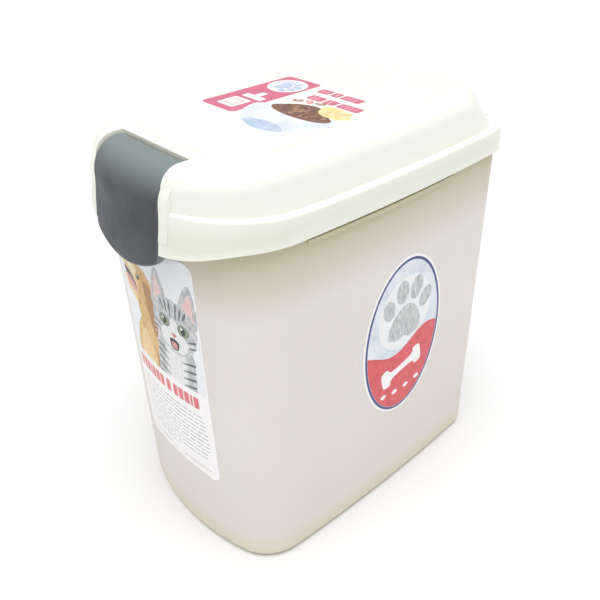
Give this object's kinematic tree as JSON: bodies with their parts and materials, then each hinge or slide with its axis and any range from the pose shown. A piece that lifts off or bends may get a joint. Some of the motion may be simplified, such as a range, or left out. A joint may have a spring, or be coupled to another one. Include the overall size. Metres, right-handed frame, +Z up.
{
  "type": "pet food bin",
  "caption": "Tall plastic pet food storage bin with a hinged crowned lid, a seal under it and a front latch lever.",
  "frame": {"origin": "on the floor, under the middle of the bin's bounding box", "axes": "+Z up, -Y towards the latch at the front, +X to the right seen from behind the latch looking at the hinge"},
  "size_m": [0.1926, 0.3078, 0.3375],
  "materials": {
    "tub_plastic": "frosted, slightly translucent",
    "lid_plastic": "smooth moulded",
    "seal_rubber": "matte",
    "latch_plastic": "satin",
    "pin_steel": "drawn",
    "lid_print": "printed film",
    "front_print": "printed film",
    "side_print": "printed film"
  },
  "bodies": {
    "tub": {"tub": "tub_plastic", "front_label": "front_print", "side_sticker": "side_print", "hinge_pin_left": "pin_steel", "hinge_pin_right": "pin_steel"},
    "lid": {"lid": "lid_plastic", "lid_seal": "seal_rubber", "lid_label": "lid_print", "latch_pin": "pin_steel"},
    "latch": {"latch": "latch_plastic"}
  },
  "joints": [
    {"name": "lid_hinge", "type": "hinge", "parent": "tub", "child": "lid", "pos_m": [0, 0.1494, 0.2824], "axis": [-1, 0, 0], "range_deg": [0, 105]},
    {"name": "latch_pivot", "type": "hinge", "parent": "lid", "child": "latch", "pos_m": [0, -0.1261, 0.3293], "axis": [-1, 0, 0], "range_deg": [0, 90]}
  ]
}
